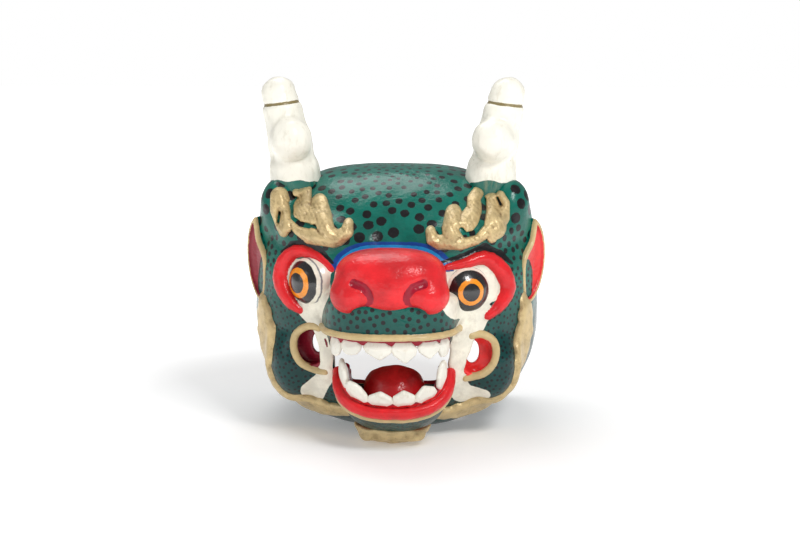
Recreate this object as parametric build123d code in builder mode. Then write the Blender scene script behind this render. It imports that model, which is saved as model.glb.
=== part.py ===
"""Carved wooden dragon dance mask: a hollow, open-backed head with glued-on carvings.

The mask faces -Y and rests on its chin and lower rim at Z = 0.  The origin lies on that resting
plane, midway between the ears and midway between the tip of the nose and the back rim.
"""

from build123d import *
import os
from math import cos, radians, sin

os.makedirs("parts", exist_ok=True)

# ---- Driving dimensions, in millimetres ----
BACK_Y = 130          # open back rim
NOSE_Y = -130         # tip of the nose
WALL = 12             # thickness of the carved shell
RELIEF = 8            # height of the brow carving above the shell
SEAT_DEPTH = 4        # depth to which glued carvings are let into the shell
PAD_GAP = 2           # air between a pad and the wood behind it

# Head form: distance along Y, half width, bottom, top
HEAD_STATIONS = (
    (145, 120, -6, 226),
    (90, 137, -10, 250),
    (50, 142, -10, 259),
    (10, 138, -8, 255),
    (-25, 122, -2, 232),
    (-55, 96, 10, 196),
    (-78, 60, 30, 140),
)
WAIST_SHARE = 0.46    # height of the widest point as a share of a station's height
CROWN_FULLNESS = 0.92
JOWL_FULLNESS = 0.62

MUZZLE_HALF = 64      # half width at the mouth corners
MUZZLE_CORNER_Y = -80
MUZZLE_FRONT_Y = -120
MUZZLE_ROOT_Y = -50
MUZZLE_BOTTOM = 112
MUZZLE_TOP = 136

MOUTH_HALF = 60
MOUTH_BOTTOM = 62
NECK_HALF = 70
NECK_FRONT_Y = 20
NECK_TOP = 26

NOSE_BACK_Y = -46
NOSE_CORNER = 15
NOSE_TOP_FILLET = 9
# Nose levels: height, width, front
NOSE_LEVELS = (
    (MUZZLE_TOP, 100, -122),
    (160, 106, NOSE_Y),
    (194, 88, -94),
)

CORNER_FRONT_Y = -66  # front and back of the curled mouth corners
CORNER_BACK_Y = -30
CORNER_X = 87
CORNER_Z = 82
CORNER_RIM = (46, 24)     # height and width of the curl
CORNER_SLOT = (22, 9)     # height and width of the opening in it

JAW_SEAT_Y = -70      # flat face where the lower jaw block is glued to the head
JAW_TILT = 37         # downward slope of the open jaw's rim, degrees
JAW_RADIUS = 54
JAW_WALL = 12
JAW_DEPTH = 40
JAW_HOLLOW = 20
JAW_BOTTOM = 18       # underside of the jaw, on top of the chin tuft
JAW_RIM_Z = 73
JAW_PEG_X = 26
JAW_PEG_Z = 34
JAW_PEG_RADIUS = 4
JAW_PEG_DEPTH = 9     # length of each peg's half on either side of the glue face
CHIN_HALF = 34
CHIN_BACK_Y = -64
CHIN_FRONT_Y = -104
TONGUE_LENGTH = 50
TONGUE_WIDTH = 42
TONGUE_Y = -17        # middle of the tongue along the jaw

TOOTH_ANGLES = (-59, -35, -12, 12, 35, 59)
UPPER_TOOTH_RADIUS = 60
LOWER_TOOTH_RADIUS = 47
UPPER_TOOTH_SIZE = (22, 10)
LOWER_TOOTH_SIZE = (18, 9)
TOOTH_CORNER = 4
UPPER_TOOTH_LENGTHS = (14, 13, 15, 15, 13, 14)
LOWER_TOOTH_LENGTHS = (24, 17, 15, 15, 17, 24)

EYE_RADIUS = 29
EYE_SEAT = 4          # height of the eyeball's flat back above its sphere's centre
# Eyeball centre and the turn of its gaze away from straight ahead, degrees
EYES = {
    "left_eyeball": (-83, -46, 152, -42),
    "right_eyeball": (77, -50, 146, 32),
}

HORN_FOOT_X = 94
HORN_TIP_X = 110
HORN_Y = 12
HORN_FOOT_Z = 232
HORN_TOP_Z = 347
HORN_FOOT_RADII = (22, 20)
HORN_NECK_RADII = (17, 16)
HORN_TIP_RADIUS = 18
TINE_X = 97
TINE_Y = -7
TINE_Z = 286
TINE_RADIUS = 20
HORN_PEG_RADIUS = 7
HORN_PEG_BURIED = 22  # length of each peg in the head
HORN_PEG_RAISED = 30  # length of each peg in the horn

EAR_X = 129.163         # middle of the ear's leaf
EAR_Y = -2
EAR_TURN = 53.13      # turn of the leaf from facing forwards to facing outwards, degrees
EAR_TOP_Z = 211
EAR_BOTTOM_Z = 128
EAR_REACH = 20        # outer edge from the middle
EAR_ROOT = 16         # inner edge from the middle
EAR_THICKNESS = 11
EAR_RIM = 5
EAR_FLOOR = 4         # thickness left under the ear's dish

# Brow outline on the right, seen from the front
BROW_OUTLINE = (
    (36, 192), (44, 205), (62, 200), (78, 210), (86, 232), (98, 238), (104, 226),
    (112, 240), (122, 222), (120, 200), (104, 186), (80, 180), (60, 182), (48, 186),
)
BAND_RADIUS = 10.5
# Middle of the right cheek band, from below the ear to the chin
BAND_PATH = ((130, 24, 120), (128, 10, 72), (106, -6, 34), (76, -34, 17), (44, -58, 13))

STRAP_Z = 140
STRAP_WIDTH = 26
STRAP_THICKNESS = 2.4
STRAP_PATH = ((-121, 80), (-119, 98), (-84, 114), (0, 122), (84, 114), (119, 98), (121, 80))
NAIL_X = 119.2        # outer face of the strap, under the nail's head
NAIL_Y = 88
NAIL_LENGTH = 12
NAIL_RADIUS = 1.5
NAIL_HEAD_RADIUS = 4
NAIL_HEAD_HEIGHT = 1.5

EYELET_X = 40
EYELET_Y = 112
EYELET_Z = 214
EYELET_RADIUS = 5
EYELET_WIRE = 1.2
SCREW_RADIUS = 1.6
SCREW_LENGTH = 20
BAIL_WIRE = 1.5
BAIL_HALF = 31
BAIL_LENGTH = 48
BAIL_END_X = 48       # the bail's ends pass through the screw eyes to here
BAIL_BEND = 4


UPRIGHT = (Align.CENTER, Align.CENTER, Align.MIN)


def publish(piece, name):
    """Name a finished piece and write its STEP file."""
    piece.label = name
    export_step(piece, f"parts/{name}.step")


def head_outline(y, half_width, bottom, top):
    """Closed outline of the head across Y: a full crown over narrower jowls."""
    waist = bottom + WAIST_SHARE * (top - bottom)
    crown_rise = CROWN_FULLNESS * (top - waist)
    crown_reach = CROWN_FULLNESS * half_width
    jowl_drop = JOWL_FULLNESS * (waist - bottom)
    jowl_reach = JOWL_FULLNESS * half_width
    right = (half_width, waist)
    left = (-half_width, waist)
    with BuildSketch(Plane.XZ.offset(-y)) as outline:
        with BuildLine():
            Bezier(right, (half_width, waist + crown_rise), (crown_reach, top), (0, top))
            Bezier((0, top), (-crown_reach, top), (-half_width, waist + crown_rise), left)
            Bezier(left, (-half_width, waist - jowl_drop), (-jowl_reach, bottom), (0, bottom))
            Bezier((0, bottom), (jowl_reach, bottom), (half_width, waist - jowl_drop), right)
        make_face()
    return outline.sketch


def head_outlines(growth):
    """Outlines of the head form grown outwards, or shrunk when the growth is negative."""
    outlines = []
    for y, half_width, bottom, top in HEAD_STATIONS:
        shifted_y = y - growth if y < 0 else y
        outlines.append(head_outline(shifted_y, half_width + growth, bottom - growth, top + growth))
    return outlines


# ---- Forms shared by the pieces that follow the head's surface ----
with BuildPart() as head_form:
    loft(head_outlines(0))
    split(bisect_by=Plane.XZ.offset(-BACK_Y), keep=Keep.TOP)

with BuildPart() as relief_form:
    loft(head_outlines(RELIEF))

with BuildPart() as seat_form:
    loft(head_outlines(-SEAT_DEPTH))

with BuildPart() as cavity_form:
    loft(head_outlines(-WALL))

with BuildPart() as pad_form:
    loft(head_outlines(-WALL - PAD_GAP))


# ---- Eyeballs: domes on flat seats, turned outwards ----
def eye_plane(x, y, z, turn):
    """Plane through an eyeball's centre, with its normal along the gaze."""
    gaze = (sin(radians(turn)), -cos(radians(turn)), 0)
    return Plane(origin=(x, y, z), x_dir=(cos(radians(turn)), sin(radians(turn)), 0), z_dir=gaze)


eyeballs = {}
for name, (x, y, z, turn) in EYES.items():
    plane = eye_plane(x, y, z, turn)
    with BuildPart() as eyeball:
        with Locations(plane):
            Sphere(EYE_RADIUS)
        split(bisect_by=plane.offset(EYE_SEAT), keep=Keep.TOP)
    publish(eyeball.part, name)
    eyeballs[name] = eyeball.part


# ---- Nose: a pillow-shaped block on top of the muzzle ----
with BuildPart() as nose:
    for level, width, front_y in NOSE_LEVELS:
        with BuildSketch(Plane.XY.offset(level)):
            with Locations((0, (front_y + NOSE_BACK_Y) / 2)):
                RectangleRounded(width, NOSE_BACK_Y - front_y, NOSE_CORNER)
    loft(ruled=True)
    fillet(nose.faces().sort_by(Axis.Z)[-1].edges(), radius=NOSE_TOP_FILLET)
    add(seat_form.part, mode=Mode.SUBTRACT)
publish(nose.part, "nose")


# ---- Horns: tapered stubs with a round tip and a ball-shaped tine in front ----
with BuildPart() as right_horn:
    with BuildSketch(Plane.XY.offset(HORN_FOOT_Z)):
        with Locations((HORN_FOOT_X, HORN_Y)):
            Ellipse(*HORN_FOOT_RADII)
    with BuildSketch(Plane.XY.offset(HORN_TOP_Z - HORN_TIP_RADIUS - 4)):
        with Locations((HORN_TIP_X, HORN_Y)):
            Ellipse(*HORN_NECK_RADII)
    loft()
    with Locations((HORN_TIP_X, HORN_Y, HORN_TOP_Z - HORN_TIP_RADIUS)):
        Sphere(HORN_TIP_RADIUS)
    with Locations((TINE_X, TINE_Y, TINE_Z)):
        Sphere(TINE_RADIUS)
    with BuildSketch(Plane.XY.offset(HORN_FOOT_Z)):
        with Locations((HORN_FOOT_X, HORN_Y)):
            Circle(HORN_PEG_RADIUS)
    extrude(amount=HORN_PEG_RAISED, mode=Mode.SUBTRACT)

with BuildPart() as left_horn:
    mirror(right_horn.part, about=Plane.YZ)

with BuildPart() as horn_pegs:
    with BuildSketch(Plane.XY.offset(HORN_FOOT_Z - HORN_PEG_BURIED)):
        with Locations((HORN_FOOT_X, HORN_Y), (-HORN_FOOT_X, HORN_Y)):
            Circle(HORN_PEG_RADIUS)
    extrude(amount=HORN_PEG_BURIED + HORN_PEG_RAISED)
publish(right_horn.part, "right_horn")
publish(left_horn.part, "left_horn")
publish(horn_pegs.part, "horn_pegs")


# ---- Ears: dished leaves that flare out and back from the temples ----
EAR_MIDDLE_Z = (EAR_TOP_Z + EAR_BOTTOM_Z) / 2
EAR_HALF_HEIGHT = (EAR_TOP_Z - EAR_BOTTOM_Z) / 2
EAR_PLANE = Plane(
    origin=(EAR_X, EAR_Y, EAR_MIDDLE_Z),
    x_dir=(cos(radians(EAR_TURN)), sin(radians(EAR_TURN)), 0),
    z_dir=(sin(radians(EAR_TURN)), -cos(radians(EAR_TURN)), 0),
)


def ear_outline(inset, lift):
    """Leaf with a pointed top and a rounded lobe, shrunk by the inset, above the ear's back."""
    height = EAR_HALF_HEIGHT - inset
    with BuildSketch(EAR_PLANE.offset(lift)) as leaf:
        with BuildLine():
            back = ThreePointArc((4, height), (EAR_REACH - inset, 0), (-2, -height))
            ThreePointArc(back @ 1, (inset - EAR_ROOT, -0.3 * height), back @ 0)
        make_face()
    return leaf.sketch


with BuildPart() as ear_blank:
    extrude(ear_outline(0, 0), amount=EAR_THICKNESS)

with BuildPart() as right_ear:
    add(ear_blank.part)
    extrude(ear_outline(EAR_RIM, EAR_FLOOR), amount=EAR_THICKNESS, mode=Mode.SUBTRACT)
    add(cavity_form.part, mode=Mode.SUBTRACT)

with BuildPart() as left_ear:
    mirror(right_ear.part, about=Plane.YZ)
publish(right_ear.part, "right_ear")
publish(left_ear.part, "left_ear")


# ---- Mouth corners: curled rims around an open slot, set through the cheek ----
with BuildPart() as right_mouth_corner:
    with BuildSketch(Plane.XZ.offset(-CORNER_FRONT_Y)):
        with Locations((CORNER_X, CORNER_Z)):
            SlotOverall(*CORNER_RIM, rotation=90)
            SlotOverall(*CORNER_SLOT, rotation=90, mode=Mode.SUBTRACT)
    extrude(amount=CORNER_FRONT_Y - CORNER_BACK_Y)

with BuildPart() as left_mouth_corner:
    mirror(right_mouth_corner.part, about=Plane.YZ)
publish(right_mouth_corner.part, "right_mouth_corner")
publish(left_mouth_corner.part, "left_mouth_corner")


# ---- Lower jaw: a scooped block, hanging open, glued to the head's flat seat ----
JAW_PLANE = Plane(
    origin=(0, -75, JAW_RIM_Z),
    x_dir=(1, 0, 0),
    z_dir=(0, -sin(radians(JAW_TILT)), cos(radians(JAW_TILT))),
)


JAW_PEG_PLANES = [
    Plane(origin=(x, JAW_SEAT_Y, JAW_PEG_Z), z_dir=(0, -1, 0)) for x in (-JAW_PEG_X, JAW_PEG_X)
]


def jaw_outline(radius, plane):
    """Half-round scoop outline that runs back past the jaw's seat."""
    with BuildSketch(plane) as outline:
        with BuildLine():
            rim = ThreePointArc((-radius, 0), (0, -radius), (radius, 0))
            Polyline(rim @ 1, (radius, 40), (-radius, 40), rim @ 0)
        make_face()
    return outline.sketch


with BuildPart() as lower_jaw:
    extrude(jaw_outline(JAW_RADIUS, JAW_PLANE), amount=-JAW_DEPTH)
    extrude(jaw_outline(JAW_RADIUS - JAW_WALL, JAW_PLANE), amount=-JAW_HOLLOW, mode=Mode.SUBTRACT)
    split(bisect_by=Plane.XZ.offset(-JAW_SEAT_Y), keep=Keep.TOP)
    split(bisect_by=Plane.XY.offset(JAW_BOTTOM), keep=Keep.TOP)
    with Locations(*JAW_PEG_PLANES):
        Cylinder(JAW_PEG_RADIUS, JAW_PEG_DEPTH, align=UPRIGHT, mode=Mode.SUBTRACT)

with BuildPart() as jaw_pegs:
    with Locations(*JAW_PEG_PLANES):
        Cylinder(JAW_PEG_RADIUS, 2 * JAW_PEG_DEPTH)
publish(lower_jaw.part, "lower_jaw")
publish(jaw_pegs.part, "jaw_pegs")

with BuildPart() as chin_tuft:
    with BuildSketch():
        with BuildLine():
            ThreePointArc((-CHIN_HALF, CHIN_BACK_Y), (0, CHIN_FRONT_Y), (CHIN_HALF, CHIN_BACK_Y))
            Line((CHIN_HALF, CHIN_BACK_Y), (-CHIN_HALF, CHIN_BACK_Y))
        make_face()
    extrude(amount=JAW_BOTTOM, taper=-6)
    split(bisect_by=Plane.XZ.offset(-JAW_SEAT_Y), keep=Keep.TOP)
publish(chin_tuft.part, "chin_tuft")

with BuildPart() as tongue:
    with BuildSketch(JAW_PLANE.offset(-JAW_HOLLOW)):
        with Locations((0, TONGUE_Y)):
            SlotOverall(TONGUE_LENGTH, TONGUE_WIDTH, rotation=90)
    extrude(amount=JAW_HOLLOW, taper=14)
    split(bisect_by=Plane.XZ.offset(-JAW_SEAT_Y), keep=Keep.TOP)
publish(tongue.part, "tongue")


# ---- Teeth: tapered pegs set around the muzzle and around the jaw's rim ----
def tooth_plane(base, centre_y, radius, angle):
    """Plane at one tooth's root, turned to face outwards along the arc of teeth."""
    outward = base.x_dir * sin(radians(angle)) - base.y_dir * cos(radians(angle))
    along = base.x_dir * cos(radians(angle)) + base.y_dir * sin(radians(angle))
    root = base.origin + base.y_dir * centre_y + outward * radius
    return Plane(origin=root, x_dir=along, z_dir=base.z_dir)


MUZZLE_ARC_RADIUS = (MUZZLE_HALF**2 + (MUZZLE_CORNER_Y - MUZZLE_FRONT_Y) ** 2) / (
    2 * (MUZZLE_CORNER_Y - MUZZLE_FRONT_Y)
)
for number, angle in enumerate(TOOTH_ANGLES, start=1):
    upper_root = tooth_plane(
        Plane.XY.offset(MUZZLE_BOTTOM), MUZZLE_FRONT_Y + MUZZLE_ARC_RADIUS, UPPER_TOOTH_RADIUS, angle
    )
    with BuildPart() as upper_tooth:
        with BuildSketch(upper_root):
            RectangleRounded(*UPPER_TOOTH_SIZE, TOOTH_CORNER)
        extrude(amount=-UPPER_TOOTH_LENGTHS[number - 1], taper=9)
    publish(upper_tooth.part, f"upper_tooth_{number}")

    lower_root = tooth_plane(JAW_PLANE, 0, LOWER_TOOTH_RADIUS, angle)
    with BuildPart() as lower_tooth:
        with BuildSketch(lower_root):
            RectangleRounded(*LOWER_TOOTH_SIZE, TOOTH_CORNER)
        extrude(amount=LOWER_TOOTH_LENGTHS[number - 1], taper=8)
    publish(lower_tooth.part, f"lower_tooth_{number}")


# ---- Brows: flame-shaped carvings that follow the forehead ----
with BuildPart() as right_brow:
    with BuildSketch(Plane.XZ.offset(90)):
        with BuildLine():
            Spline(*BROW_OUTLINE, periodic=True)
        make_face()
    extrude(amount=-110)
    add(relief_form.part, mode=Mode.INTERSECT)
    add(head_form.part, mode=Mode.SUBTRACT)
    add(right_horn.part, mode=Mode.SUBTRACT)
    add(nose.part, mode=Mode.SUBTRACT)

with BuildPart() as left_brow:
    mirror(right_brow.part, about=Plane.YZ)
publish(right_brow.part, "right_brow")
publish(left_brow.part, "left_brow")


# ---- Cheek bands: rounded borders from below the ears to the chin ----
with BuildPart() as right_cheek_band:
    with BuildLine() as band_path:
        Spline(*BAND_PATH)
    with BuildSketch(Plane(origin=band_path.line @ 0, z_dir=band_path.line % 0)):
        Circle(BAND_RADIUS)
    sweep()
    add(head_form.part, mode=Mode.SUBTRACT)

with BuildPart() as left_cheek_band:
    mirror(right_cheek_band.part, about=Plane.YZ)
publish(right_cheek_band.part, "right_cheek_band")
publish(left_cheek_band.part, "left_cheek_band")


# ---- Cotton head strap across the back, held by one flat-headed nail on each side ----
with BuildPart() as strap_nails:
    for side in (-1, 1):
        with Locations(Plane(origin=(side * NAIL_X, NAIL_Y, STRAP_Z), z_dir=(side, 0, 0))):
            Cylinder(NAIL_RADIUS, NAIL_LENGTH, align=UPRIGHT)
            Cylinder(NAIL_HEAD_RADIUS, NAIL_HEAD_HEIGHT, align=(Align.CENTER, Align.CENTER, Align.MAX))
publish(strap_nails.part, "strap_nails")

with BuildPart() as head_strap:
    with BuildLine(Plane.XY.offset(STRAP_Z)) as strap_path:
        Spline(*STRAP_PATH)
    with BuildSketch(Plane(origin=strap_path.line @ 0, x_dir=(0, 0, 1), z_dir=strap_path.line % 0)):
        Rectangle(STRAP_WIDTH, STRAP_THICKNESS)
    sweep()
    add(strap_nails.part, mode=Mode.SUBTRACT)
publish(head_strap.part, "head_strap")


# ---- Screw eyes in the crown's back edge, and the wire bail that swings in them ----
with BuildPart() as screw_eyes:
    for x in (-EYELET_X, EYELET_X):
        with Locations(Plane(origin=(x, EYELET_Y, EYELET_Z), z_dir=(1, 0, 0))):
            Torus(EYELET_RADIUS, EYELET_WIRE)
        with Locations((x, EYELET_Y, EYELET_Z + EYELET_RADIUS)):
            Cylinder(SCREW_RADIUS, SCREW_LENGTH, align=UPRIGHT)
publish(screw_eyes.part, "screw_eyes")

with BuildPart() as hanging_bail:
    with BuildLine() as bail_path:
        FilletPolyline(
            (-BAIL_END_X, EYELET_Y, EYELET_Z),
            (-BAIL_HALF, EYELET_Y, EYELET_Z),
            (-BAIL_HALF, EYELET_Y, EYELET_Z - BAIL_LENGTH),
            (BAIL_HALF, EYELET_Y, EYELET_Z - BAIL_LENGTH),
            (BAIL_HALF, EYELET_Y, EYELET_Z),
            (BAIL_END_X, EYELET_Y, EYELET_Z),
            radius=BAIL_BEND,
        )
    with BuildSketch(Plane(origin=bail_path.line @ 0, z_dir=bail_path.line % 0)):
        Circle(BAIL_WIRE)
    sweep()
publish(hanging_bail.part, "hanging_bail")


# ---- Head shell: the hollow head, its muzzle, and seats for the glued pieces ----
with BuildPart() as head_shell:
    add(head_form.part)
    with BuildSketch(Plane.XY.offset(MUZZLE_BOTTOM)):
        with BuildLine():
            lip = ThreePointArc(
                (-MUZZLE_HALF, MUZZLE_CORNER_Y), (0, MUZZLE_FRONT_Y), (MUZZLE_HALF, MUZZLE_CORNER_Y)
            )
            Polyline(
                lip @ 1, (MUZZLE_HALF, MUZZLE_ROOT_Y), (-MUZZLE_HALF, MUZZLE_ROOT_Y), lip @ 0
            )
        make_face()
    extrude(amount=MUZZLE_TOP - MUZZLE_BOTTOM)
    add(cavity_form.part, mode=Mode.SUBTRACT)
    split(bisect_by=Plane.XY, keep=Keep.TOP)
    # Mouth opening
    with BuildSketch(Plane.XY.offset(MOUTH_BOTTOM)):
        with Locations((0, -70)):
            Rectangle(2 * MOUTH_HALF, 120)
    extrude(amount=MUZZLE_BOTTOM - MOUTH_BOTTOM, mode=Mode.SUBTRACT)
    # Flat seat for the jaw
    with BuildSketch(Plane.XY):
        with Locations((0, JAW_SEAT_Y - 40)):
            Rectangle(2 * MOUTH_HALF, 80)
    extrude(amount=MOUTH_BOTTOM, mode=Mode.SUBTRACT)
    # Room for the wearer's neck
    with BuildSketch(Plane.XY.offset(-1)):
        with Locations((0, NECK_FRONT_Y + 80)):
            RectangleRounded(2 * NECK_HALF, 160, 20)
    extrude(amount=NECK_TOP, mode=Mode.SUBTRACT)
    # Seats and sockets for the glued pieces
    add(nose.part, mode=Mode.SUBTRACT)
    for eyeball_part in eyeballs.values():
        add(eyeball_part, mode=Mode.SUBTRACT)
    add(left_horn.part, mode=Mode.SUBTRACT)
    add(right_horn.part, mode=Mode.SUBTRACT)
    add(horn_pegs.part, mode=Mode.SUBTRACT)
    add(ear_blank.part, mode=Mode.SUBTRACT)
    mirror(ear_blank.part, about=Plane.YZ, mode=Mode.SUBTRACT)
    add(jaw_pegs.part, mode=Mode.SUBTRACT)
    add(strap_nails.part, mode=Mode.SUBTRACT)
    add(screw_eyes.part, mode=Mode.SUBTRACT)
    for side in (-1, 1):
        with BuildSketch(Plane.XZ.offset(-CORNER_FRONT_Y)):
            with Locations((CORNER_X * side, CORNER_Z)):
                SlotOverall(*CORNER_RIM, rotation=90)
        extrude(amount=CORNER_FRONT_Y - CORNER_BACK_Y, mode=Mode.SUBTRACT)
publish(head_shell.part, "head_shell")


# ---- Soft linings inside the head, each clear of the wood by the pad gap ----
PAD_CORNER = 8
PADS = {
    "forehead_pad": ((-50, -56, 158), (50, -24, 200)),
    "crown_pad": ((-48, 26, 226), (48, 98, 262)),
    "left_temple_pad": ((-150, 26, 116), (-98, 74, 176)),
    "right_temple_pad": ((98, 26, 116), (150, 74, 176)),
}


def lining_pad(low, high):
    """Pad between two corner points, shaped on its outer side by the head's inner surface."""
    with BuildPart() as pad:
        with BuildSketch(Plane.XY.offset(low[2])):
            with Locations(((low[0] + high[0]) / 2, (low[1] + high[1]) / 2)):
                RectangleRounded(high[0] - low[0], high[1] - low[1], PAD_CORNER)
        extrude(amount=high[2] - low[2])
        add(pad_form.part, mode=Mode.INTERSECT)
    return pad.part


for name, (low, high) in PADS.items():
    publish(lining_pad(low, high), name)
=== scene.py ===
"""Looks for the carved dragon dance mask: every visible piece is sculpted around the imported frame.

Shapes are written as signed distance functions in millimetres (negative inside), in the row's
frame: the mask faces -Y, +X is to the right seen from the front, and Z = 0 is the resting plane.
A surface net turns each function into a mesh, and paint borders are stored on that mesh as
signed distances too, so that the materials can draw them sharply.
"""
import bpy
import numpy as np
from math import cos, pi, radians, sin
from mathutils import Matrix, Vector, kdtree


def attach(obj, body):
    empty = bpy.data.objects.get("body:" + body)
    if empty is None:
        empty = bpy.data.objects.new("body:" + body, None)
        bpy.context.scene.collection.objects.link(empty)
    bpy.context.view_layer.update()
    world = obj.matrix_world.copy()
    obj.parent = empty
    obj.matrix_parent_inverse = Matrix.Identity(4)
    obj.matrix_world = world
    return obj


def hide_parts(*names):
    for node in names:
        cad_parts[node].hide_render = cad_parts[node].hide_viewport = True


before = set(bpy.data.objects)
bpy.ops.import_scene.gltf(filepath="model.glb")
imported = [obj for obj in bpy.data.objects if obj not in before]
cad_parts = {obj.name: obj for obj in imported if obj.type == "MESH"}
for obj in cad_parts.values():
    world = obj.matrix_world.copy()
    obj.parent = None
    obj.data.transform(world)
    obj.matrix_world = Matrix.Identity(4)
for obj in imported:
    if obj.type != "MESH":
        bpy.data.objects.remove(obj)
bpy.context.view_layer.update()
MM = 0.001
BODY = "mask"


# ---------------------------------------------------------------- distance functions
def smooth_min(a, b, k):
    """Union of two distances with a fillet about k wide."""
    h = np.clip(0.5 + 0.5 * (b - a) / k, 0, 1)
    return b + (a - b) * h - k * h * (1 - h)


def smooth_max(a, b, k):
    """Intersection of two distances with a rounded edge about k wide."""
    return -smooth_min(-a, -b, k)


def ellipsoid(p, centre, radii):
    """Approximate distance to an ellipsoid."""
    q = [(p[i] - centre[i]) / radii[i] for i in range(3)]
    near = np.sqrt(q[0] ** 2 + q[1] ** 2 + q[2] ** 2) + 1e-6
    slope = np.sqrt(sum((q[i] / radii[i]) ** 2 for i in range(3))) + 1e-6
    return near * (near - 1) / slope


def rod(p, a, b, radius_a, radius_b=None):
    """Distance to a straight rod with round ends, tapering from radius_a to radius_b."""
    radius_b = radius_a if radius_b is None else radius_b
    axis = [b[i] - a[i] for i in range(len(a))]
    length2 = sum(c * c for c in axis) + 1e-9
    t = np.clip(sum((p[i] - a[i]) * axis[i] for i in range(len(a))) / length2, 0, 1)
    gap = np.sqrt(sum((p[i] - a[i] - t * axis[i]) ** 2 for i in range(len(a))))
    return gap - (radius_a + (radius_b - radius_a) * t)


def chain(p, points, radii, k=0.0):
    """Distance to a chain of tapering rods through the points, blended over k."""
    radii = [radii] * len(points) if np.isscalar(radii) else radii
    joined = None
    for i in range(len(points) - 1):
        link = rod(p, points[i], points[i + 1], radii[i], radii[i + 1])
        if joined is None:
            joined = link
        else:
            joined = smooth_min(joined, link, k) if k else np.minimum(joined, link)
    return joined


def curve(points, count):
    """Points evenly spread in parameter along a smooth curve through the given points."""
    points = np.array(points, float)
    ends = np.vstack([2 * points[0] - points[1], points, 2 * points[-1] - points[-2]])
    out = []
    for s in np.linspace(0, len(points) - 1, count):
        i = min(int(s), len(points) - 2)
        t = s - i
        a, b, c, d = ends[i:i + 4]
        out.append(0.5 * (2 * b + (c - a) * t + (2 * a - 5 * b + 4 * c - d) * t**2
                          + (3 * b - a - 3 * c + d) * t**3))
    return [tuple(q) for q in out]


def block(p, centre, half, rounding):
    """Distance to a box with rounded edges."""
    q = [np.abs(p[i] - centre[i]) - half[i] + rounding for i in range(3)]
    outer = np.sqrt(sum(np.maximum(c, 0) ** 2 for c in q))
    return outer + np.minimum(np.maximum(np.maximum(q[0], q[1]), q[2]), 0) - rounding


def mirrored(p):
    """The same points seen in the mask's middle plane, so one side can be drawn on both."""
    return (np.abs(p[0]), p[1], p[2])


def ripple(p, pitch, phase=0.0):
    """Gentle hand-carved unevenness between -1 and 1."""
    a, b, c = (2 * pi * v / pitch for v in p)
    return (np.sin(a + 1.7 * np.sin(b * 0.6 + phase)) * np.sin(b + 1.3 * np.sin(c * 0.7 + 2 * phase))
            + np.sin(c * 1.1 + 1.9 * np.sin(a * 0.5 + phase)) * 0.6) / 1.6


# ---------------------------------------------------------------- the head's form
CROWN_TOP = 259
HALF_WIDTH = 142
WAIST = 114           # height of the widest point
WIDEST_Y = 40
FACE_DEPTH = 118      # from the widest station to the face
FACE_FULLNESS = 2.3
RIM_Y = 130
WALL = 11
CROWN_FULLNESS = 3.0  # 2 is an ellipse, larger is squarer
JOWL_FULLNESS = 2.3
BACK_NARROWING = 15   # how much less wide each side, and how much lower, the rim is
BACK_DROP = 25
JOWL_DROP = 6         # how far the form runs below the resting plane, where it is cut off


def head_form(p):
    """Distance to the smooth head, before anything is carved on it."""
    def level(x, y, z):
        back = np.clip((y - WIDEST_Y) / (RIM_Y - WIDEST_Y), 0, 1) ** 2
        half_width = HALF_WIDTH - BACK_NARROWING * back
        top = CROWN_TOP - BACK_DROP * back
        reach = np.where(z > WAIST, top - WAIST, WAIST + JOWL_DROP)
        fullness = np.where(z > WAIST, CROWN_FULLNESS, JOWL_FULLNESS)
        side = np.abs(x) / half_width
        rise = np.abs(z - WAIST) / reach
        front = np.clip(WIDEST_Y - y, 0, None) / FACE_DEPTH
        ring = (side**fullness + rise**fullness) ** (1 / fullness)
        return (ring**FACE_FULLNESS + front**FACE_FULLNESS) ** (1 / FACE_FULLNESS) - 1

    x, y, z = p
    here = level(x, y, z)
    e = 0.5
    slope = np.sqrt((level(x + e, y, z) - here) ** 2 + (level(x, y + e, z) - here) ** 2
                    + (level(x, y, z + e) - here) ** 2) / e
    return here / np.maximum(slope, 0.004)


# ---------------------------------------------------------------- the carved face
EYES = {
    "left": {"centre": (-84, -59, 156), "turn": -44},
    "right": {"centre": (73, -64, 150), "turn": 21},
}
EYE_BALL = 27         # radius of the eye's dome
EYE_SUNK = 17         # depth of its centre below the face
EYE_RINGS = {"left": (9.8, 14.6, 20.5), "right": (8.6, 12.8, 20)}     # radii of pupil, ring and iris
LIDS = {              # eyelid ridge, from the nose over the eye to its lower outer tip
    "left": [(-56, -67, 170), (-70, -60, 181), (-88, -52, 185), (-101, -46, 177), (-107, -43, 161),
             (-104, -48, 146), (-96, -55, 135), (-88, -60, 129)],
    "right": [(52, -68, 173), (70, -62, 176), (88, -53, 180), (103, -45, 168), (110, -42, 150),
              (103, -49, 134), (92, -57, 125)],
}
LID_RADII = {"left": [2, 3.5, 5, 7.5, 8.5, 8, 6, 3], "right": [2, 4, 6, 8.5, 8.5, 6.5, 3.5]}
BLACK_ARCS = {        # painted line above each eyelid, as x and z
    "left": [(-55, 176), (-68, 188), (-83, 193), (-96, 190), (-108, 181)],
    "right": [(48, 178), (66, 182), (88, 190), (103, 182), (115, 171)],
}
CREAM = {             # cream skin from the eye down over the mouth corner: x, z, half width
    "left": [(-60, 170, 3), (-66, 150, 9), (-77, 132, 13), (-72, 118, 7), (-66, 104, 6), (-62, 86, 7),
             (-65, 62, 8), (-77, 46, 12)],
    "right": [(59, 168, 2), (64, 140, 6), (83, 129, 12), (73, 112, 13), (67, 95, 11), (63, 80, 10),
              (62, 62, 9), (68, 47, 10), (88, 45, 7)],
}
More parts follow.
